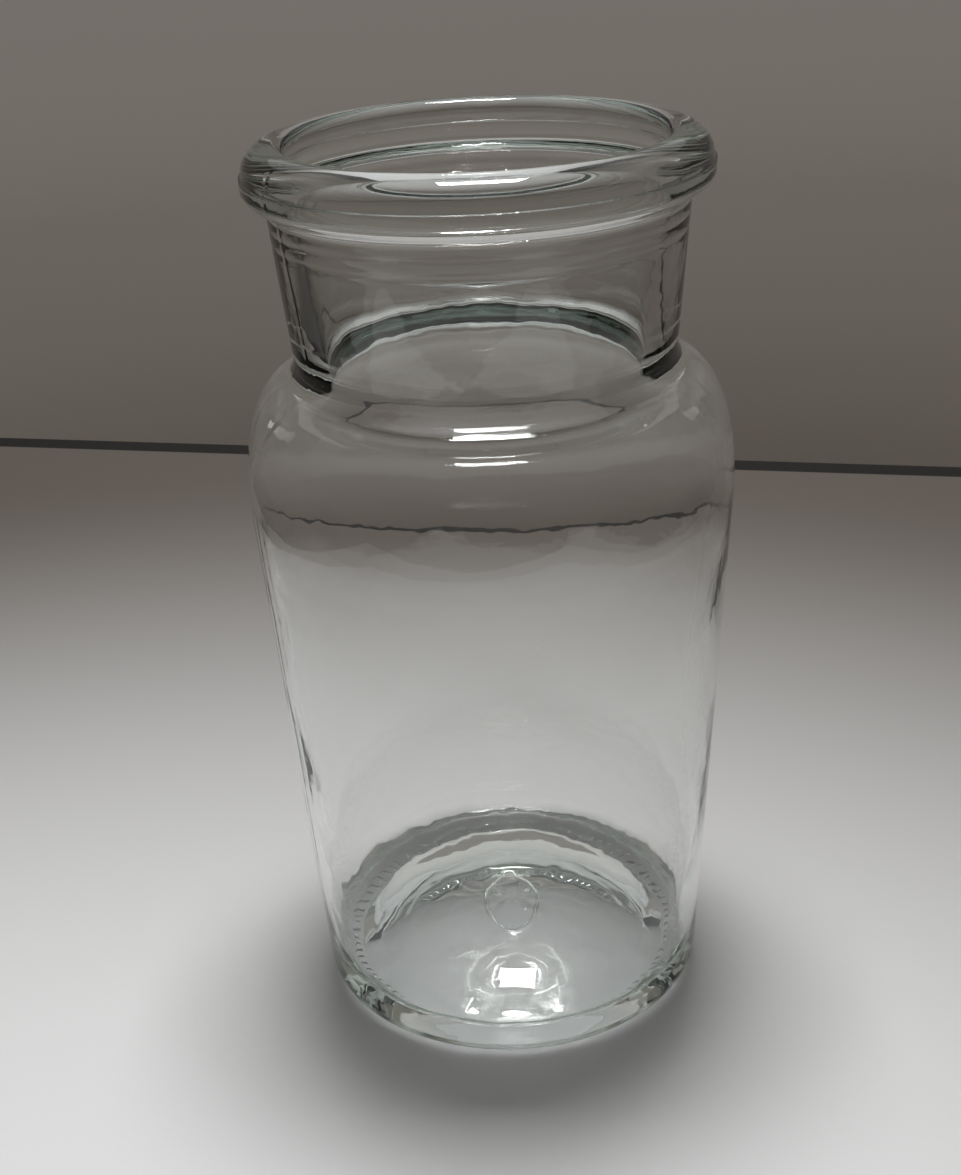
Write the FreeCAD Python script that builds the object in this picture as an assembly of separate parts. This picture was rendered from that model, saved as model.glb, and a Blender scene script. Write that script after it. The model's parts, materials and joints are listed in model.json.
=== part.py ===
import FreeCAD, Part
import math
import os

# A clear moulded glass jar, in millimetres. The origin is the centre of the resting face and +Z runs
# up the axis of the jar, out of its mouth.

# Heights. The finish, neck and shoulder hang from the top; the floor is measured from the foot.
jar_height = 180.0
crown_radius = 5.2              # outer edge of the rim bead's top
crown_land = 0.4                # straight side between the crown and the parting line below it
bead_lower_height = 5.8         # from the parting line down to where the bead meets the neck
bead_underside_rise = 2.4       # the underside of the bead climbs this much on its way out
neck_length = 32.4
shoulder_rise = 29.2            # from the end of the straight body wall to the foot of the neck
floor_edge_height = 8.0         # where the inside floor would meet the body wall, before rounding
floor_thickness = 4.5           # on the axis

# Radii
mouth_radius = 35.5
lip_radius = 2.2                # inner edge of the mouth
rim_land = 0.9                  # flat top of the rim, between the lip and the crown
parting_step = 0.4              # the bead is this much wider below its parting line
neck_top_wall = 4.4
neck_taper = 3.1                # the neck is this much narrower, in radius, at its foot
shoulder_corner_radius = 49.9   # where the line of the body wall would reach the shoulder's height
shoulder_fullness = 0.88        # 1 fills the corner more, 0.7 is an elliptical shoulder
base_radius = 40.6

# Hollow
mouth_land_length = 6.0         # the straight part of the bore, below the rounded lip
neck_foot_wall = 6.5
shoulder_wall = 5.0
body_wall = 2.8

# Rounded edges
bead_lower_radius = 3.0         # outer edge of the bead's underside
bead_root_radius = 1.5          # hollow corner under the bead
neck_root_radius = 4.5          # hollow corner between neck and shoulder
neck_inner_radius = 8.0         # the same corner on the inside
heel_radius = 3.5               # outer edge of the base
floor_corner_radius = 3.0       # hollow corner round the inside floor

# Underside
rest_ring_width = 4.2           # flat ring that the jar stands on
push_up = 8.5                   # rise of the underside from the ring to the axis
knurl_count = 88                # radial nicks in the resting ring
knurl_width = 0.8
knurl_length = 2.4
knurl_depth = 0.3
mark_length = 19.0              # plain oval moulded into the middle of the underside
mark_width = 11.6
mark_line = 0.8
mark_depth = 0.25

# Worked out from the sizes above
parting_height = jar_height - crown_radius - crown_land
bead_root_height = parting_height - bead_lower_height
shoulder_top = bead_root_height - neck_length
shoulder_start = shoulder_top - shoulder_rise
rim_radius = mouth_radius + lip_radius + rim_land + crown_radius + parting_step
neck_top_radius = mouth_radius + neck_top_wall
neck_foot_radius = neck_top_radius - neck_taper
inner_neck_radius = neck_foot_radius - neck_foot_wall
rest_ring_inner_radius = base_radius - heel_radius - rest_ring_width
floor_crown_height = push_up + floor_thickness

AXIS_POINT = FreeCAD.Vector(0, 0, 0)
UP = FreeCAD.Vector(0, 0, 1)


def point(radius, height):
    return FreeCAD.Vector(radius, 0, height)


def line(start, end):
    return Part.LineSegment(start, end).toShape()


def body_line(foot_radius, corner_radius, height):
    """Radius of the straight body wall's line at a height."""
    return foot_radius + (corner_radius - foot_radius) * height / shoulder_top


floor_edge_radius = body_line(base_radius - body_wall, shoulder_corner_radius - body_wall, floor_edge_height)


def shoulder_curve(start, corner, end):
    """Conic arc that leaves start and reaches end along the lines through corner."""
    curve = Part.BezierCurve()
    curve.setPoles([start, corner, end])
    curve.setWeight(2, shoulder_fullness)
    return curve.toShape()


def outer_outline():
    """Edges of the outside, from the resting ring's outer edge up to the mouth."""
    foot = point(base_radius, 0)
    bend = point(body_line(base_radius, shoulder_corner_radius, shoulder_start), shoulder_start)
    corner = point(shoulder_corner_radius, shoulder_top)
    neck_foot = point(neck_foot_radius, shoulder_top)
    bead_root = point(neck_top_radius, bead_root_height)
    underside = point(rim_radius, bead_root_height + bead_underside_rise)
    parting_low = point(rim_radius, parting_height)
    parting_high = point(rim_radius - parting_step, parting_height)
    crown = point(rim_radius - parting_step, jar_height)
    mouth = point(mouth_radius, jar_height)
    return [
        line(foot, bend),
        shoulder_curve(bend, corner, neck_foot),
        line(neck_foot, bead_root),
        line(bead_root, underside),
        line(underside, parting_low),
        line(parting_low, parting_high),
        line(parting_high, crown),
        line(crown, mouth),
    ]


def inner_outline():
    """Edges of the hollow, from the mouth down to the floor's edge."""
    foot_radius = base_radius - body_wall
    corner_radius = shoulder_corner_radius - body_wall
    roof_height = shoulder_top - shoulder_wall
    land_height = jar_height - lip_radius - mouth_land_length
    mouth = point(mouth_radius, jar_height)
    land = point(mouth_radius, land_height)
    neck_foot = point(inner_neck_radius, roof_height)
    corner = point(body_line(foot_radius, corner_radius, roof_height), roof_height)
    bend = point(body_line(foot_radius, corner_radius, shoulder_start), shoulder_start)
    return [
        line(mouth, land),
        line(land, neck_foot),
        shoulder_curve(neck_foot, corner, bend),
        line(bend, point(floor_edge_radius, floor_edge_height)),
    ]


def dome(radius, edge_height, crown_height):
    """Round arc from a circle of a radius up to the axis, where it runs level."""
    rise = crown_height - edge_height
    sphere_radius = (radius ** 2 + rise ** 2) / (2 * rise)
    halfway = radius / 2
    halfway_height = crown_height - sphere_radius + math.sqrt(sphere_radius ** 2 - halfway ** 2)
    arc = Part.Arc(point(radius, edge_height), point(halfway, halfway_height), point(0, crown_height))
    return arc.toShape()


def base_outline():
    """Edges of the pushed-up base: the floor, the axis, the underside and the resting ring."""
    return [
        dome(floor_edge_radius, floor_edge_height, floor_crown_height),
        line(point(0, floor_crown_height), point(0, push_up)),
        dome(rest_ring_inner_radius, 0, push_up),
        line(point(rest_ring_inner_radius, 0), point(base_radius, 0)),
    ]


def circle_edges(shape, radius, height):
    """The round edges of a turned shape that lie at a radius and a height."""
    found = []
    for edge in shape.Edges:
        if edge.Degenerated or not isinstance(edge.Curve, Part.Circle):
            continue
        same_radius = math.isclose(edge.Curve.Radius, radius, abs_tol=1e-4)
        same_height = math.isclose(edge.Curve.Center.z, height, abs_tol=1e-4)
        if same_radius and same_height:
            found.append(edge)
    return found


def rounded(shape, size, radius, height):
    """The shape with the round edge at a radius and a height rounded to a size."""
    return shape.makeFillet(size, circle_edges(shape, radius, height))


def blown_shape():
    """The turned glass, with every moulded edge rounded."""
    outline = Part.Wire(outer_outline() + inner_outline() + base_outline())
    glass = Part.Face(outline).revolve(AXIS_POINT, UP, 360)
    glass = rounded(glass, crown_radius, rim_radius - parting_step, jar_height)
    glass = rounded(glass, lip_radius, mouth_radius, jar_height)
    glass = rounded(glass, bead_lower_radius, rim_radius, bead_root_height + bead_underside_rise)
    glass = rounded(glass, bead_root_radius, neck_top_radius, bead_root_height)
    glass = rounded(glass, neck_root_radius, neck_foot_radius, shoulder_top)
    glass = rounded(glass, neck_inner_radius, inner_neck_radius, shoulder_top - shoulder_wall)
    glass = rounded(glass, floor_corner_radius, floor_edge_radius, floor_edge_height)
    return rounded(glass, heel_radius, base_radius, 0)


def knurl():
    """The nicks to be cut from the resting ring, as one compound of small blocks."""
    ring_middle = rest_ring_inner_radius + rest_ring_width / 2
    corner = FreeCAD.Vector(ring_middle - knurl_length / 2, -knurl_width / 2, -knurl_depth)
    nicks = []
    for index in range(knurl_count):
        nick = Part.makeBox(knurl_length, knurl_width, 2 * knurl_depth, corner)
        nick.rotate(AXIS_POINT, UP, 360 * index / knurl_count)
        nicks.append(nick)
    return Part.makeCompound(nicks)


def oval(length, width):
    """Flat oval face about the axis, long way along Y."""
    edge = Part.Ellipse(AXIS_POINT, length / 2, width / 2).toShape()
    edge.rotate(AXIS_POINT, UP, 90)
    return Part.Face(Part.Wire(edge))


def base_mark():
    """The oval groove's tool: an oval ring whose roof lies just above the domed underside."""
    ring = oval(mark_length, mark_width).cut(oval(mark_length - 2 * mark_line, mark_width - 2 * mark_line))
    roof = dome(rest_ring_inner_radius, mark_depth, push_up + mark_depth)
    under_roof = Part.Wire([
        line(point(0, 0), point(rest_ring_inner_radius, 0)),
        line(point(rest_ring_inner_radius, 0), point(rest_ring_inner_radius, mark_depth)),
        roof,
        line(point(0, push_up + mark_depth), point(0, 0)),
    ])
    space_below = Part.Face(under_roof).revolve(AXIS_POINT, UP, 360)
    return ring.extrude(UP * floor_crown_height).common(space_below)


def glass_jar():
    return blown_shape().cut([knurl(), base_mark()])


os.makedirs("parts", exist_ok=True)
jar = glass_jar()
jar.exportStep("parts/glass_jar.step")
print("glass_jar: valid", jar.isValid(), "solids", len(jar.Solids), "cm3", round(jar.Volume / 1000, 1))
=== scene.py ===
import json
import math
import bpy
import numpy as np
from bpy.props import FloatProperty, FloatVectorProperty, IntProperty, PointerProperty
from mathutils import Matrix, Vector


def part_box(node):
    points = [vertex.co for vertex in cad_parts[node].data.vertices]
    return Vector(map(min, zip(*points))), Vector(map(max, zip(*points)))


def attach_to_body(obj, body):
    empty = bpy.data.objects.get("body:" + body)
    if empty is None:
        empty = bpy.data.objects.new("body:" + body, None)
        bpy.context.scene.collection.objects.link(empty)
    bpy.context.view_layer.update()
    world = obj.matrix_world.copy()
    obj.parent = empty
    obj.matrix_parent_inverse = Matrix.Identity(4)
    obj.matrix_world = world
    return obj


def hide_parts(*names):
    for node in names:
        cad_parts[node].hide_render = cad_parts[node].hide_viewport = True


bl_info = {
    "name": "Clear Glass Jar",
    "version": (1, 0, 0),
    "blender": (4, 5, 0),
    "location": "3D View > Sidebar > Glass Jar",
    "description": "Makes a clear moulded glass jar, its table, its light and its camera",
    "category": "Add Mesh",
}

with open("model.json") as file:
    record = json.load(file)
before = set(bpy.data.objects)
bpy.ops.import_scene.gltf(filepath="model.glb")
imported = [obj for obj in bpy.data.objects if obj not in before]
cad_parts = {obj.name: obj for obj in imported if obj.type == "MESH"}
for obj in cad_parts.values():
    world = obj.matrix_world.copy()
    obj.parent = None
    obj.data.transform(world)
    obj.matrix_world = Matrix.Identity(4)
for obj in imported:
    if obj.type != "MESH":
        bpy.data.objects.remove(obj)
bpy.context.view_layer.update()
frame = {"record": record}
MM = 0.001
NODE = "glass_jar"
ROWS = 280                          # of the jar's mesh, from pole to pole
COLUMNS_PER_NICK = 4                # of the jar's mesh, for each nick in the resting ring
RING_EDGE_ROUNDING = 1.2 * MM       # inner edge of the resting ring
PARTING_ROUNDING = 0.18 * MM        # outer edge of the step at the rim's parting line
PARTING_ROOT_ROUNDING = 0.15 * MM   # its inner corner
LAND_EASING = 30 * MM               # the slight bend where the bore's straight land ends
SEAM_ANGLES = (math.radians(12), math.radians(192))
NECK_RINGS = ((167.4, 0.14), (165.3, 0.08), (162.2, 0.10))     # height and depth, in millimetres
MOUTH = next(mount for mount in frame["record"]["mounts"] if mount["name"] == "mouth_bore")["dims"]


def length(name, millimetres, description):
    """A size property, in metres."""
    return FloatProperty(name=name, description=description, default=millimetres * MM,
                         unit="LENGTH", subtype="DISTANCE", precision=5)


def tone(name, hex_colour, description):
    """A colour property, from an sRGB hex value."""
    return FloatVectorProperty(name=name, description=description, default=linear(hex_colour),
                               subtype="COLOR", size=3, min=0.0, max=1.0)


def linear(hex_colour):
    """The three linear channels of an sRGB hex colour."""
    channels = [int(hex_colour[start:start + 2], 16) / 255 for start in (1, 3, 5)]
    return tuple(c / 12.92 if c <= 0.04045 else ((c + 0.055) / 1.055) ** 2.4 for c in channels)


class JarSizes(bpy.types.PropertyGroup):
    """Sizes of the turned glass."""
    height: length("Height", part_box(NODE)[1].z / MM, "Height of the jar")
    mouth_radius: length("Mouth radius", MOUTH["r_mm"], "Radius of the bore at the mouth")
    mouth_land: length("Mouth land", MOUTH["length_mm"], "Straight length of the bore under the lip")
    crown_radius: length("Crown radius", 5.2, "Rounding of the top outer edge of the rim bead")
    crown_land: length("Crown land", 0.4, "Straight side between the crown and the parting line")
    bead_lower_height: length("Lower bead", 5.8, "From the parting line down to the neck")
    bead_underside_rise: length("Bead underside rise", 2.4, "Climb of the bead's underside on its way out")
    neck_length: length("Neck length", 32.4, "From the bead down to the shoulder")
    shoulder_rise: length("Shoulder rise", 29.2, "From the straight wall's end to the neck's foot")
    floor_edge_height: length("Floor edge height", 8.0, "Where the floor would meet the wall inside")
    floor_thickness: length("Floor thickness", 4.5, "Glass on the axis")
    lip_radius: length("Lip radius", 2.2, "Rounding of the mouth's inner edge")
    rim_land: length("Rim land", 0.9, "Flat top between lip and crown")
    parting_step: length("Parting step", 0.4, "The bead is this much wider under its parting line")
    neck_top_wall: length("Neck wall", 4.4, "Glass at the top of the neck")
    neck_taper: length("Neck taper", 3.1, "The neck's foot is this much narrower in radius")
    shoulder_corner_radius: length("Shoulder corner", 49.9, "Radius that the body's line would reach")
    shoulder_fullness: FloatProperty(name="Shoulder fullness", default=0.88, min=0.3, max=2.0,
                                     description="Weight of the shoulder's corner in its conic arc")
    base_radius: length("Base radius", 40.6, "Radius of the foot before its edge is rounded")
    neck_foot_wall: length("Neck foot wall", 6.5, "Glass at the foot of the neck")
    shoulder_wall: length("Shoulder wall", 5.0, "Glass under the neck's foot")
    body_wall: length("Body wall", 2.8, "Glass in the body's side")
    bead_lower_radius: length("Lower bead radius", 3.0, "Rounding of the bead's underside")
    bead_root_radius: length("Bead root radius", 1.5, "Hollow corner under the bead")
    neck_root_radius: length("Neck root radius", 4.5, "Hollow corner between neck and shoulder")
    neck_inner_radius: length("Inner neck radius", 8.0, "The same corner inside")
    heel_radius: length("Heel radius", 3.5, "Rounding of the foot's outer edge")
    floor_corner_radius: length("Floor corner radius", 3.0, "Hollow corner round the floor")
    rest_ring_width: length("Resting ring", 4.2, "Width of the flat ring that the jar stands on")
    push_up: length("Push-up", 8.5, "Rise of the underside from the ring to the axis")


class GlassMarks(bpy.types.PropertyGroup):
    """Sizes of the marks that moulding and blowing leave in the glass."""
    knurl_count: IntProperty(name="Knurl count", default=88, min=8, description="Nicks in the resting ring")
    knurl_depth: length("Knurl depth", 0.3, "Depth of each nick")
    oval_length: length("Oval length", 19.0, "Outer length of the plain oval under the base")
    oval_width: length("Oval width", 11.6, "Outer width of the oval")
    oval_line: length("Oval line", 0.8, "Width of the oval's groove")
    oval_depth: length("Oval depth", 0.25, "Depth of the oval's groove")
    outer_wave: length("Outer wave", 0.06, "Unevenness of the outside")
    inner_wave: length("Inner wave", 0.25, "Unevenness of the blown inside")
    ledge: length("Settled ledge", 0.4, "Unevenness where the wall meets the floor inside")
    floor_tilt: FloatProperty(name="Floor tilt", default=math.radians(4.5), subtype="ANGLE", unit="ROTATION",
                              description="Slope of the floor inside, where the glass settled unevenly")
    floor_lean: FloatProperty(name="Floor lean", default=math.radians(100), subtype="ANGLE",
                              unit="ROTATION", description="Direction in which the floor rises")
    seam_height: length("Mould seam", 0.07, "Height of the two mould seams")


class GlassLook(bpy.types.PropertyGroup):
    """Colour and surface of the glass."""
    body_tint: tone("Body tint", "#CBEBDC", "Colour that deep glass takes white light to")
    tint_density: FloatProperty(name="Tint density", default=9.0, min=0.0,
                                description="Absorption per metre of glass")
    index: FloatProperty(name="Refraction", default=1.52, min=1.0, max=2.0, description="Refractive index")


class StageLook(bpy.types.PropertyGroup):
    """Table, room and light."""
    # Painted light: near_tone is the table's painted pool of light in front of the jar, and far_tone the
    # painted shade away from it.
    near_tone: tone("Table, near", "#E4E5E5", "The table in front of the jar")
    far_tone: tone("Table, far", "#5F5852", "The table towards its far edge")
    # Painted shade: room_tone is the room darkened near the table, and wall_tone the room paler with
    # distance.
    room_tone: tone("Room, near", "#4E4740", "The room's floor just beyond the table")
    wall_tone: tone("Room, far", "#A39C95", "The room's wall")
    # Painted shadow: the dark of the gap round the table.
    painted_gap_shadow_tone: tone("Gap", "#0B0A09", "Dark gap along the table's edges")
    # Painted shade: the dark strip of floor beside the table's sides.
    painted_shade_tone: tone("Floor beside the table", "#2A2725", "The dark strip of floor beside the table")
    table_half: length("Table half depth", 302.5, "From the jar's axis to the table's back and front edges")
    table_side: length("Table half width", 285.0, "From the jar's axis to the table's side edges")
    table_turn: FloatProperty(name="Table turn", default=math.radians(-12.6), subtype="ANGLE",
                              unit="ROTATION", description="Turn of the table about the jar")
    key_power: FloatProperty(name="Softbox", default=8.4, min=0.0, unit="POWER",
                             description="Power of the wide overhead light")
    panel_power: FloatProperty(name="Back panel", default=1.0, min=0.0, unit="POWER",
                               description="Power of the wide panel high behind the jar")
    world_strength: FloatProperty(name="Room light", default=0.15, min=0.0,
                                  description="Strength of the light from all round")


# ---------------------------------------------------------------- outline of the glass
# An outline is a row of complex numbers: radius + height * 1j.

def straight(start, end, count=1600):
    """Points from start to end: start + (end - start) * t, with t crowded towards both ends."""
    t = (1 - np.cos(np.linspace(0, np.pi, count))) / 2
    return start + (end - start) * t


def conic(start, corner, end, weight, count=1600):
    """Rational quadratic arc: the three points blended by (1-t)^2, 2 w t (1-t) and t^2 over their sum."""
    t = (1 - np.cos(np.linspace(0, np.pi, count))) / 2
    shares = np.array([(1 - t) ** 2, 2 * weight * t * (1 - t), t ** 2])
    return np.array([start, corner, end]) @ shares / shares.sum(0)


def dome(radius, edge_height, crown_height, count=1600):
    """Arc of a circle centred on the axis, from the axis out: R = (radius^2 + rise^2) / (2 rise)."""
    rise = crown_height - edge_height
    sphere = (radius ** 2 + rise ** 2) / (2 * rise)
    angle = np.linspace(0, math.asin(radius / sphere), count)
    return sphere * np.sin(angle) + 1j * (crown_height - sphere + sphere * np.cos(angle))


def cross(a, b):
    """Signed area spanned by two plane vectors held as complex numbers."""
    return (np.conj(a) * b).imag


def direction(run):
    """Unit tangent at each point of a run."""
    step = np.gradient(run)
    return step / abs(step)


def roll_corner(first, second, radius, count=160):
    """Rounds the corner between two runs with a rolled circle.

    Both runs are shifted sideways by the radius. The circle's centre is where the shifted runs cross, and
    its arc goes between the two points straight across from that centre.
    """
    heading_a, heading_b = direction(first), direction(second)
    side = 1j * np.sign(cross(heading_a[-1], heading_b[0]))
    shifted_a = first + side * heading_a * radius
    shifted_b = second + side * heading_b * radius
    apart = abs(shifted_a[:, None] - shifted_b[None, :])
    i, j = np.unravel_index(apart.argmin(), apart.shape)
    gap, along_a, along_b = shifted_b[j] - shifted_a[i], heading_a[i], heading_b[j]
    slide_a = cross(gap, along_b) / cross(along_a, along_b)
    slide_b = cross(gap, along_a) / cross(along_a, along_b)
    centre = shifted_a[i] + slide_a * along_a
    foot_a, foot_b = first[i] + slide_a * along_a, second[j] + slide_b * along_b
    sweep = np.angle((foot_b - centre) / (foot_a - centre))
    arc = centre + (foot_a - centre) * np.exp(1j * np.linspace(0, sweep, count))
    return first[:max(i - 1, 1)], arc, second[min(j + 2, len(second) - 1):]


def body_line(foot, corner, height, top):
    """Radius at a height of the straight line from foot, at height 0, to corner, at height top."""
    return foot + (corner - foot) * height / top


def jar_outline(s):
    """The whole outline, from the axis under the base, round the outside and the inside, to the axis."""
    parting = s.height - s.crown_radius - s.crown_land
    bead_root = parting - s.bead_lower_height
    shoulder_top = bead_root - s.neck_length
    bend = shoulder_top - s.shoulder_rise
    roof = shoulder_top - s.shoulder_wall
    rim = s.mouth_radius + s.lip_radius + s.rim_land + s.crown_radius + s.parting_step
    crown = rim - s.parting_step
    neck_top = s.mouth_radius + s.neck_top_wall
    neck_foot = neck_top - s.neck_taper
    inner_neck = neck_foot - s.neck_foot_wall
    ring_inner = s.base_radius - s.heel_radius - s.rest_ring_width
    land_foot = s.height - s.lip_radius - s.mouth_land
    foot, corner = s.base_radius, s.shoulder_corner_radius
    inner_foot, inner_corner = foot - s.body_wall, corner - s.body_wall
    floor_edge = body_line(inner_foot, inner_corner, s.floor_edge_height, shoulder_top)
    outer_bend = body_line(foot, corner, bend, shoulder_top) + 1j * bend
    inner_bend = body_line(inner_foot, inner_corner, bend, shoulder_top) + 1j * bend
    inner_top = body_line(inner_foot, inner_corner, roof, shoulder_top) + 1j * roof
    floor_rim = floor_edge + 1j * s.floor_edge_height
    # Each run, and the rounding of the corner at its end; 0 where the next run goes straight on.
    runs = [
        (dome(ring_inner, 0, s.push_up), RING_EDGE_ROUNDING),
        (straight(ring_inner, foot), s.heel_radius),
        (straight(foot, outer_bend), 0),
        (conic(outer_bend, corner + 1j * shoulder_top, neck_foot + 1j * shoulder_top,
               s.shoulder_fullness), s.neck_root_radius),
        (straight(neck_foot + 1j * shoulder_top, neck_top + 1j * bead_root), s.bead_root_radius),
        (straight(neck_top + 1j * bead_root, rim + 1j * (bead_root + s.bead_underside_rise)),
         s.bead_lower_radius),
        (straight(rim + 1j * (bead_root + s.bead_underside_rise), rim + 1j * parting), PARTING_ROUNDING),
        (straight(rim + 1j * parting, crown + 1j * parting), PARTING_ROOT_ROUNDING),
        (straight(crown + 1j * parting, crown + 1j * s.height), s.crown_radius),
        (straight(crown + 1j * s.height, s.mouth_radius + 1j * s.height), s.lip_radius),
        (straight(s.mouth_radius + 1j * s.height, s.mouth_radius + 1j * land_foot), LAND_EASING),
        (straight(s.mouth_radius + 1j * land_foot, inner_neck + 1j * roof), s.neck_inner_radius),
        (conic(inner_neck + 1j * roof, inner_top, inner_bend, s.shoulder_fullness), 0),
        (straight(inner_bend, floor_rim), s.floor_corner_radius),
        (dome(floor_edge, s.floor_edge_height, s.push_up + s.floor_thickness)[::-1], 0),
    ]
    pieces = [runs[0][0]]
    for (_, rounding), (following, _) in zip(runs, runs[1:]):
        if rounding:
            pieces[-1], arc, following = roll_corner(pieces[-1], following, rounding)
            pieces.append(arc)
        pieces.append(following)
    outline = np.concatenate(pieces)
    return outline[np.append(abs(np.diff(outline)) > 1e-8, True)]


def window(x, low, high, soft):
    """1 between low and high, 0 outside, with smooth flanks of half width soft."""
    return (np.tanh((x - low) / soft) - np.tanh((x - high) / soft)) / 2


def jar_rows(outline, sizes, rows):
    """Radius, height, heading and side (inside or not) of the outline at a number of rows.

    The rows crowd where the outline turns and where a mark needs them. The crowding adds up, over the
    length, 1 per 4 mm, 1 per 9 degrees of turn and the extra rows of each marked stretch. Rows then stand
    at equal steps of that sum.
    """
    step = np.append(0, abs(np.diff(outline)))
    run = np.cumsum(step)
    heading = np.unwrap(np.angle(direction(outline)))
    turning = np.append(0, abs(np.diff(heading)))
    r, z = outline.real, outline.imag
    rim_top = run[np.argmax(z)]
    inside = run > rim_top
    under = (run < 0.2 * run[-1]) & (z < sizes.push_up + MM)
    nicks = window(r, 33.2 * MM, 36.8 * MM, 0.2 * MM) * (z < 0.5 * MM)
    oval = window(r, 4.2 * MM, 9.8 * MM, 0.3 * MM) * under * ~inside
    neck_rings = window(z, 160 * MM, 169 * MM, 0.4 * MM) * ~inside
    ledge = window(z, 7 * MM, 19 * MM, 1.5 * MM) * (r > 26 * MM) * inside
    extra = (1 / (0.35 * MM) * nicks + 1 / (0.30 * MM) * oval
             + 1 / (0.55 * MM) * neck_rings + 1 / (0.9 * MM) * ledge)
    crowding = np.cumsum(step / (4.0 * MM) + turning / math.radians(9) + extra * step)
    wanted = np.linspace(0, crowding[-1], rows + 2)[1:-1]
    at = np.interp(wanted, crowding, run)
    return np.interp(at, run, r), np.interp(at, run, z), np.interp(at, run, heading), at > rim_top


# ---------------------------------------------------------------- marks in the glass

LEVEL = 1e6                         # wave length, in millimetres, of a ripple that is the same at any height


def ripple(angle, height, terms, seed):
    """Sum of sines around and up the jar, each with its own turn count, wave length and seeded phase."""
    phases = np.random.default_rng(seed).uniform(0, 2 * np.pi, (len(terms), 2))
    total = np.zeros(np.broadcast(angle, height).shape)
    for (turns, wave, share), (p, q) in zip(terms, phases):
        total += share * np.sin(turns * angle + p) * np.cos(2 * np.pi * height / (wave * MM) + q)
    return total / sum(share for _, _, share in terms)


def marks(r, z, angle, inside, m, sizes):
    """How far the glass stands out from its outline, along the outline's normal, over the whole grid.

    Outside, it is the sum of: a low sine ripple that stays under the outline; two ridges
    exp(-(arc / 0.6 mm)^2) at the mould seams; three faint rings under the bead; a squared cosine nick,
    knurl_count times round the resting ring; and a groove exp(-(d / w)^2) under the base, with d the
    distance to the oval. Inside, it is a ripple that is strongest on the X sides, and an uneven ledge where
    the wall meets the floor.
    """
    x, y = r * np.cos(angle), r * np.sin(angle)
    wall = window(z, 6 * MM, 132 * MM, 3 * MM)
    outer_terms = [(2, 90, 1), (3, 55, 0.8), (5, 34, 0.5), (9, 21, 0.3)]
    outer = -m.outer_wave * (1.3 + ripple(angle, z, outer_terms, 3))
    seam_stretch = window(z, 3 * MM, 172 * MM, MM) * (r > 36 * MM)
    for seam in SEAM_ANGLES:
        across = r * np.angle(np.exp(1j * (angle - seam)))
        outer += m.seam_height * np.exp(-(across / (0.6 * MM)) ** 2) * seam_stretch
    for height, depth in NECK_RINGS:
        outer -= depth * MM * np.exp(-((z - height * MM) / (0.55 * MM)) ** 2)
    nick = np.maximum(np.cos(m.knurl_count * angle), 0) ** 2
    outer -= m.knurl_depth * nick * window(r, 33.8 * MM, 36.2 * MM, 0.15 * MM) * (z < 0.5 * MM)
    half_x, half_y = (m.oval_width - m.oval_line) / 2, (m.oval_length - m.oval_line) / 2
    level = np.hypot(x / half_x, y / half_y)
    slope = np.hypot(x / half_x ** 2, y / half_y ** 2) / np.maximum(level, 1e-6)
    groove = np.exp(-((level - 1) / slope / (0.5 * m.oval_line)) ** 2)
    under = (z < sizes.push_up + MM) & (r < 32 * MM)
    outer -= m.oval_depth * groove * under
    inner_terms = [(2, 120, 1), (3, 70, 1), (4, 46, 0.8), (6, 60, 0.6), (7, 30, 0.5), (11, 24, 0.35)]
    stronger = 0.7 + 1.1 * np.cos(angle) ** 4
    inner = m.inner_wave * stronger * wall * ripple(angle, z, inner_terms, 11)
    ledge_terms = [(5, LEVEL, 0.7), (7, LEVEL, 1), (11, LEVEL, 0.9), (17, LEVEL, 0.6), (23, LEVEL, 0.5)]
    wobble = ripple(angle, 0 * z, ledge_terms, 5)
    ledge = window(z, 8.0 * MM, 12.5 * MM, 1.2 * MM) * (r > 30 * MM)
    inner += m.ledge * ledge * (0.35 + 0.9 * wobble)
    return np.where(inside, inner, outer)


def settled(r, z, angle, inside, m):
    """Rise of the inside near the floor, where the glass settled thicker on one side.

    A tilt, slope * r * cos(angle - lean), that fades out up the wall between 14 mm and 45 mm.
    """
    fade = np.clip((45 * MM - z) / (31 * MM), 0, 1)
    tilt = math.tan(m.floor_tilt) * r * np.cos(angle - m.floor_lean)
    return np.where(inside, tilt * fade ** 2 * (3 - 2 * fade), 0)


def turned_numbers(rows, columns):
    """Vertex numbers of a grid that closes round, and of each vertex's neighbour the way round."""
    grid = np.arange(rows * columns).reshape(rows, columns)
    return grid, np.roll(grid, -1, axis=1)


def smooth_mesh(name, points, faces):
    """A smooth-shaded mesh from lists of points and faces."""
    mesh = bpy.data.meshes.new(name)
    mesh.from_pydata(points, [], faces)
    mesh.polygons.foreach_set("use_smooth", np.ones(len(mesh.polygons), bool))
    mesh.update()
    return mesh


def closed_turned_mesh(name, x, y, z, normals, poles):
    """A mesh from a grid of rows by columns that closes round and ends in a point at each end."""
    rows, columns = x.shape
    grid, after = turned_numbers(rows, columns)
    sides = np.stack([grid[:-1], after[:-1], after[1:], grid[1:]], axis=-1).reshape(-1, 4)
    low, high = rows * columns, rows * columns + 1
    fan_low = np.stack([np.full(columns, low), after[0], grid[0]], axis=-1)
    fan_high = np.stack([np.full(columns, high), grid[-1], after[-1]], axis=-1)
    points = np.concatenate([np.stack([x, y, z], axis=-1).reshape(-1, 3), poles])
    mesh = smooth_mesh(name, points.tolist(), sides.tolist() + fan_low.tolist() + fan_high.tolist())
    ends = np.array([[0, 0, -1], [0, 0, 1]])
    mesh.normals_split_custom_set_from_vertices(np.concatenate([normals.reshape(-1, 3), ends]).tolist())
    return mesh


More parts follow.
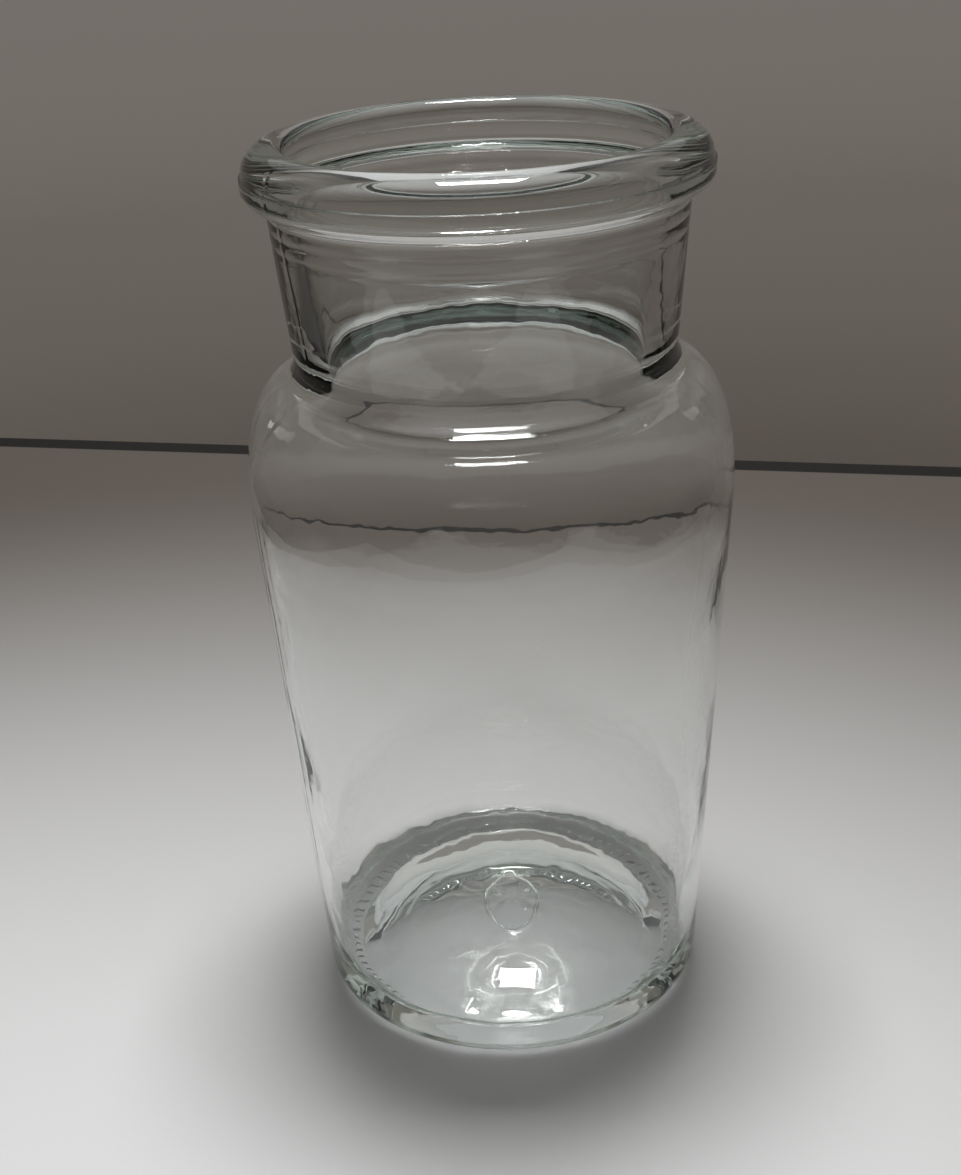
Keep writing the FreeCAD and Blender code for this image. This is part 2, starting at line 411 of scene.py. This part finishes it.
def surface_normals(x, y, z):
    """Outward unit normals of the grid: the cross product of its differences round and along it."""
    place = np.stack([x, y, z], axis=-1)
    around = np.roll(place, -1, axis=1) - np.roll(place, 1, axis=1)
    pace = np.cumsum(np.append(0, np.linalg.norm(np.diff(place, axis=0), axis=-1).mean(1)))
    along = np.gradient(place, pace, axis=0)
    normal = np.cross(around, along)
    return normal / np.linalg.norm(normal, axis=-1, keepdims=True)


def attach(name, mesh, material):
    """An object with a mesh and a material, linked to the scene at the origin."""
    piece = bpy.data.objects.new(name, mesh)
    bpy.context.scene.collection.objects.link(piece)
    mesh.materials.append(material)
    return piece


# ---------------------------------------------------------------- materials

def new_material(name):
    """A material with an empty node tree."""
    material = bpy.data.materials.new(name)
    material.use_nodes = True
    material.node_tree.nodes.clear()
    return material


def add(tree, kind, inputs=None, **settings):
    """Adds a node: settings go on the node, inputs are values or output sockets to link from."""
    node = tree.nodes.new(kind)
    for key, value in settings.items():
        setattr(node, key, value)
    for key, value in (inputs or {}).items():
        if isinstance(value, bpy.types.NodeSocket):
            tree.links.new(value, node.inputs[key])
        else:
            node.inputs[key].default_value = value
    return node


def soda_lime_glass(look):
    """Soda-lime container glass, blown in a polished iron mould and fire-polished at the rim.

    It gives a clear body that goes green only where the eye looks along much glass, a surface with the
    faint orange peel that the cool mould leaves, and a slightly scuffed foot where it has been slid about.
    """
    material = new_material("soda_lime_glass_blown_and_fire_polished")
    tree = material.node_tree
    place = add(tree, "ShaderNodeTexCoord").outputs["Object"]
    # Chill marks of the mould: soft lumps about 9 mm apart, with finer ones about 2 mm apart.
    chill = add(tree, "ShaderNodeTexNoise", {"Vector": place, "Scale": 110.0, "Detail": 1.0,
                                             "Roughness": 0.4})
    peel = add(tree, "ShaderNodeTexNoise", {"Vector": place, "Scale": 480.0, "Detail": 0.0})
    uneven = add(tree, "ShaderNodeMath", {0: peel.outputs["Fac"], 1: 0.12, 2: chill.outputs["Fac"]},
                 operation="MULTIPLY_ADD")
    bump = add(tree, "ShaderNodeBump", {"Height": uneven.outputs[0], "Strength": 0.5, "Distance": 0.15 * MM})
    # Scuffs on the foot: rough only within half a millimetre of the table.
    height = add(tree, "ShaderNodeSeparateXYZ", {0: place}).outputs["Z"]
    foot = add(tree, "ShaderNodeMapRange", {"Value": height, "From Min": 0.0, "From Max": 0.5 * MM,
                                            "To Min": 0.28, "To Max": 0.0})
    specks = add(tree, "ShaderNodeTexNoise", {"Vector": place, "Scale": 900.0, "Detail": 2.0})
    scuff = add(tree, "ShaderNodeMath", {0: foot.outputs[0], 1: specks.outputs["Fac"]}, operation="MULTIPLY")
    glass = add(tree, "ShaderNodeBsdfPrincipled", {
        "Base Color": (1, 1, 1, 1), "Roughness": scuff.outputs[0], "IOR": look.index,
        "Transmission Weight": 1.0, "Normal": bump.outputs[0]})
    tint = add(tree, "ShaderNodeVolumeAbsorption", {"Color": (*look.body_tint, 1),
                                                    "Density": look.tint_density})
    add(tree, "ShaderNodeOutputMaterial", {"Surface": glass.outputs[0], "Volume": tint.outputs[0]})
    return material


def painted_board(look):
    """Matt painted board, brush and roller laid, for the table and the room round it.

    It gives a pale sheet with a fine tooth, with a painted pool of light that is palest in front of the jar
    and painted shade that greys it far from it, cut by the thin dark gap round the table, which is a painted
    shadow.
    """
    material = new_material("matt_painted_board")
    tree = material.node_tree
    place = add(tree, "ShaderNodeTexCoord").outputs["Object"]

    # How far a point lies beyond the table's sides, its back or front, and the nearer of the two edges.
    turned = add(tree, "ShaderNodeMapping", {"Vector": place, "Rotation": (0, 0, -look.table_turn)},
                 vector_type="POINT")
    mirrored = add(tree, "ShaderNodeVectorMath", {0: turned.outputs[0]}, operation="ABSOLUTE")
    split = add(tree, "ShaderNodeSeparateXYZ", {0: mirrored.outputs[0]})
    off_side = add(tree, "ShaderNodeMath", {0: split.outputs["X"], 1: look.table_side}, operation="SUBTRACT")
    off_back = add(tree, "ShaderNodeMath", {0: split.outputs["Y"], 1: look.table_half}, operation="SUBTRACT")
    off_edge = add(tree, "ShaderNodeMath", {0: off_side.outputs[0], 1: off_back.outputs[0]},
                   operation="MAXIMUM")
    beyond = add(tree, "ShaderNodeMapRange", {"Value": off_edge.outputs[0], "From Min": -0.3 * MM,
                                              "From Max": 0.3 * MM})
    near_edge = add(tree, "ShaderNodeMath", {0: off_edge.outputs[0]}, operation="ABSOLUTE")
    # The gap's dark band, within about 5 mm of the table's edges, is a painted shadow.
    gap = add(tree, "ShaderNodeMapRange", {"Value": near_edge.outputs[0], "From Min": 4.6 * MM,
                                           "From Max": 5.4 * MM, "To Min": 1.0, "To Max": 0.0})

    # The table, with a painted pool of light: palest at a place in front of the jar on its left, and greyed
    # by painted shade with distance from there.
    # Painted light: distance from the centre of the painted pool of light.
    from_painted_light_pool = add(tree, "ShaderNodeVectorMath", {0: place, 1: (-0.10, -0.32, 0.0)}, operation="DISTANCE")
    fade = add(tree, "ShaderNodeMapRange", {"Value": from_painted_light_pool.outputs["Value"], "From Min": 0.21,
                                            "From Max": 0.63}, interpolation_type="SMOOTHSTEP")
    table = add(tree, "ShaderNodeMix", {"Factor": fade.outputs[0], 6: (*look.near_tone, 1),
                                        7: (*look.far_tone, 1)}, data_type="RGBA")

    # The room, with painted shade: darkest just beyond the table and paler with distance, and a painted
    # shade strip, dark for 100 mm beside the table's left and right edges.
    distance = add(tree, "ShaderNodeVectorMath", {0: place}, operation="LENGTH")
    painted_room_shade = add(tree, "ShaderNodeMapRange", {"Value": distance.outputs["Value"], "From Min": 0.30,
                                               "From Max": 1.15})
    room_far = add(tree, "ShaderNodeMix", {"Factor": painted_room_shade.outputs[0], 6: (*look.room_tone, 1),
                                           7: (*look.wall_tone, 1)}, data_type="RGBA")
    # Painted shade: a dark strip for 100 mm beside the table's left and right edges, along most of its
    # depth.
    painted_shade_strip = add(tree, "ShaderNodeMapRange", {"Value": off_side.outputs[0], "From Min": 0.10,
                                            "From Max": 0.16, "To Min": 1.0, "To Max": 0.0})
    beside = add(tree, "ShaderNodeMapRange", {"Value": off_back.outputs[0], "From Min": -0.10,
                                              "From Max": -0.02, "To Min": 1.0, "To Max": 0.0})
    dark = add(tree, "ShaderNodeMath", {0: painted_shade_strip.outputs[0], 1: beside.outputs[0]}, operation="MULTIPLY")
    room = add(tree, "ShaderNodeMix", {"Factor": dark.outputs[0], 6: room_far.outputs[2],
                                       7: (*look.painted_shade_tone, 1)}, data_type="RGBA")

    whole = add(tree, "ShaderNodeMix", {"Factor": beyond.outputs[0], 6: table.outputs[2],
                                        7: room.outputs[2]}, data_type="RGBA")
    lined = add(tree, "ShaderNodeMix", {"Factor": gap.outputs[0], 6: whole.outputs[2],
                                        7: (*look.painted_gap_shadow_tone, 1)}, data_type="RGBA")
    # The paint's tooth: grains about 1 mm apart.
    tooth = add(tree, "ShaderNodeTexNoise", {"Vector": place, "Scale": 900.0, "Detail": 3.0})
    bump = add(tree, "ShaderNodeBump", {"Height": tooth.outputs["Fac"], "Strength": 0.3,
                                        "Distance": 0.1 * MM})
    board = add(tree, "ShaderNodeBsdfPrincipled", {
        "Base Color": lined.outputs[2], "Roughness": 0.62, "IOR": 1.45, "Normal": bump.outputs[0]})
    add(tree, "ShaderNodeOutputMaterial", {"Surface": board.outputs[0]})
    return material


# ---------------------------------------------------------------- operators

class GLASSJAR_OT_jar(bpy.types.Operator):
    """Makes the jar: a turned closed skin of glass with the marks of its moulding"""
    bl_idname = "glassjar.jar"
    bl_label = "Make Jar"

    def execute(self, context):
        sizes, glass_marks = context.scene.jar_sizes, context.scene.glass_marks
        columns = COLUMNS_PER_NICK * glass_marks.knurl_count
        r, z, heading, inside = jar_rows(jar_outline(sizes), sizes, ROWS)
        angle = np.linspace(0, 2 * np.pi, columns, endpoint=False)[None, :]
        r, z, inside = r[:, None], z[:, None], inside[:, None]
        outward = -1j * np.exp(1j * heading)[:, None]
        proud = marks(r, z, angle, inside, glass_marks, sizes)
        rise = settled(r, z, angle, inside, glass_marks)
        r, z = r + proud * outward.real, np.maximum(z + proud * outward.imag + rise, 0)
        x, y = r * np.cos(angle), r * np.sin(angle)
        poles = [[0, 0, sizes.push_up], [0, 0, sizes.push_up + sizes.floor_thickness]]
        if not np.isfinite(x + y + z).all():
            raise RuntimeError("the jar's outline can't be rounded at these sizes")
        mesh = closed_turned_mesh("glass_jar_blown", x, y, z, surface_normals(x, y, z), poles)
        jar = attach("glass_jar_blown", mesh, soda_lime_glass(context.scene.glass_look))
        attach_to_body(jar, "root")
        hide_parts(NODE)
        return {"FINISHED"}


class GLASSJAR_OT_stage(bpy.types.Operator):
    """Makes the table and room, the light, the camera and the light paths that glass needs"""
    bl_idname = "glassjar.stage"
    bl_label = "Make Stage"

    def execute(self, context):
        look = context.scene.stage_look
        table = attach("table_and_room", room_mesh(), painted_board(look))
        aim = (0.0, 0.0, 0.05)
        softbox = add_light("overhead_softbox", (0.01, 0.12, 1.00), aim, (0.28, 0.22), look.key_power)
        panel = add_light("back_panel", (0.0, 0.88, 0.72), (0.0, 0.0, 0.15), (1.25, 0.80), look.panel_power)
        for light in (softbox, panel):
            light.visible_camera = False
        world = bpy.data.worlds.new("soft_room_light")
        world.use_nodes = True
        background = next(n for n in world.node_tree.nodes if n.type == "BACKGROUND")
        background.inputs["Color"].default_value = (*linear("#F2F4F6"), 1)
        background.inputs["Strength"].default_value = look.world_strength
        context.scene.world = world
        add_camera()
        context.scene.view_settings.view_transform = "Standard"
        context.scene.cycles.sample_clamp_indirect = 0
        context.scene.cycles.max_bounces = 24
        context.scene.cycles.transmission_bounces = 20
        context.scene.cycles.glossy_bounces = 8
        return {"FINISHED"}


def room_mesh():
    """Floor, cove and wall turned about the axis: radius t up to the cove, a quarter circle, then height."""
    floor_radius, cove_radius, wall_top = 0.80, 0.25, 0.95
    wall_radius = floor_radius + cove_radius
    floor = np.linspace(0.02, floor_radius, 60)
    turn = np.linspace(0, np.pi / 2, 24)
    cove = floor_radius + cove_radius * np.sin(turn) + 1j * cove_radius * (1 - np.cos(turn))
    wall = wall_radius + 1j * np.linspace(cove_radius, wall_top, 20)
    outline = np.concatenate([floor, cove[1:], wall[1:]])[:, None]
    angle = np.linspace(0, 2 * np.pi, 180, endpoint=False)[None, :]
    place = np.stack([outline.real * np.cos(angle), outline.real * np.sin(angle),
                      outline.imag + 0 * angle], axis=-1)
    rows, columns = place.shape[:2]
    grid, after = turned_numbers(rows, columns)
    sides = np.stack([grid[:-1], grid[1:], after[1:], after[:-1]], axis=-1).reshape(-1, 4)
    hub = np.stack([np.full(columns, rows * columns), grid[0], after[0]], axis=-1)
    points = place.reshape(-1, 3).tolist() + [(0, 0, 0)]
    return smooth_mesh("table_and_room", points, sides.tolist() + hub.tolist())


def add_light(name, place, target, size, power):
    """A rectangular light of a size in metres at a place, turned to a target."""
    data = bpy.data.lights.new(name, "AREA")
    data.shape = "RECTANGLE"
    data.size, data.size_y = size
    data.energy = power
    light = bpy.data.objects.new(name, data)
    aim = (Vector(target) - Vector(place)).to_track_quat("-Z", "Y")
    light.matrix_world = Matrix.Translation(place) @ aim.to_matrix().to_4x4()
    bpy.context.scene.collection.objects.link(light)
    return light


def add_camera():
    """A camera that looks down at the jar, slightly turned and rolled, as a hand-held one does."""
    pitch, yaw, roll = math.radians(24.75), math.radians(-0.588), math.radians(2.909)
    ahead = Vector((math.sin(yaw) * math.cos(pitch), math.cos(yaw) * math.cos(pitch), -math.sin(pitch)))
    level = ahead.cross(Vector((0, 0, 1))).normalized()
    upright = level.cross(ahead)
    right = math.cos(roll) * level - math.sin(roll) * upright
    up = math.cos(roll) * upright + math.sin(roll) * level
    data = bpy.data.cameras.new("camera")
    data.sensor_width = 36.0
    data.lens = 53.62
    data.clip_start = 0.01
    camera = bpy.data.objects.new("camera", data)
    turn = Matrix((right, up, -ahead)).transposed().to_4x4()
    camera.matrix_world = Matrix.Translation((0.0, -0.32688, 0.23835)) @ turn
    bpy.context.scene.collection.objects.link(camera)
    bpy.context.scene.camera = camera


class GLASSJAR_PT_panel(bpy.types.Panel):
    """Lists the jar's parts and their sizes"""
    bl_idname = "GLASSJAR_PT_panel"
    bl_label = "Glass Jar"
    bl_space_type = "VIEW_3D"
    bl_region_type = "UI"
    bl_category = "Glass Jar"

    def draw(self, context):
        for operator, groups in STEPS:
            box = self.layout.box()
            box.operator(operator.bl_idname)
            for group in groups:
                settings = getattr(context.scene, group)
                for key in settings.__annotations__:
                    box.prop(settings, key)


STEPS = (
    (GLASSJAR_OT_jar, ("jar_sizes", "glass_marks", "glass_look")),
    (GLASSJAR_OT_stage, ("stage_look",)),
)
GROUPS = {"jar_sizes": JarSizes, "glass_marks": GlassMarks, "glass_look": GlassLook, "stage_look": StageLook}
CLASSES = (*GROUPS.values(), GLASSJAR_OT_jar, GLASSJAR_OT_stage, GLASSJAR_PT_panel)


def register():
    for cls in CLASSES:
        bpy.utils.register_class(cls)
    for name, group in GROUPS.items():
        setattr(bpy.types.Scene, name, PointerProperty(type=group))


def unregister():
    for name in GROUPS:
        delattr(bpy.types.Scene, name)
    for cls in reversed(CLASSES):
        bpy.utils.unregister_class(cls)


def main():
    register()
    bpy.ops.glassjar.jar()
    bpy.ops.glassjar.stage()


if __name__ == "__main__":
    main()
